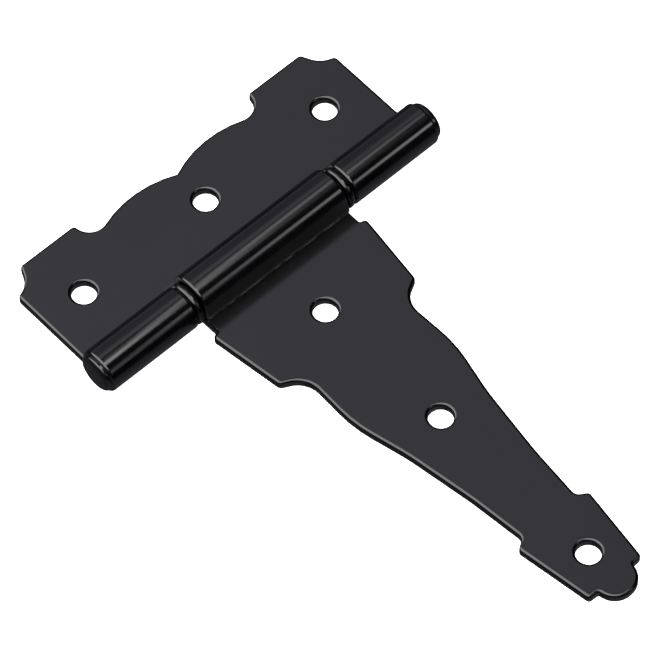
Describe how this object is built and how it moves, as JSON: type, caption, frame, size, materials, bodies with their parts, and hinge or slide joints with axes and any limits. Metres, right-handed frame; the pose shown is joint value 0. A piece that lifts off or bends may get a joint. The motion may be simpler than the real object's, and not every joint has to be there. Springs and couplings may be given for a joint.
{
  "type": "t hinge",
  "caption": "Black T hinge: a rectangular jamb leaf with a shaped outer edge and a long tapered strap leaf, rolled round a common pin, lying flat open.",
  "frame": {"origin": "middle screw hole of the jamb leaf, on the leaf's back face", "axes": "+X along the strap towards its tip, +Y along the pin towards its formed head, +Z out of the front faces; the hinge lies open and flat with both backs at z = 0"},
  "size_m": [0.1624, 0.1078, 0.0119],
  "materials": {
    "leaf_coating": "satin black powder coat on sheet steel",
    "pin_coating": "satin black powder coat on steel bar",
    "washer_coating": "gloss black coat on steel"
  },
  "bodies": {
    "jamb": {"jamb_leaf": "leaf_coating", "hinge_pin": "pin_coating", "upper_washer": "washer_coating", "lower_washer": "washer_coating"},
    "strap": {"strap_leaf": "leaf_coating"}
  },
  "joints": [
    {"name": "strap_swing", "type": "hinge", "parent": "jamb", "child": "strap", "pos_m": [0.0205, 0, 0.00575], "axis": [0, -1, 0], "range_deg": [-90, 180]}
  ]
}
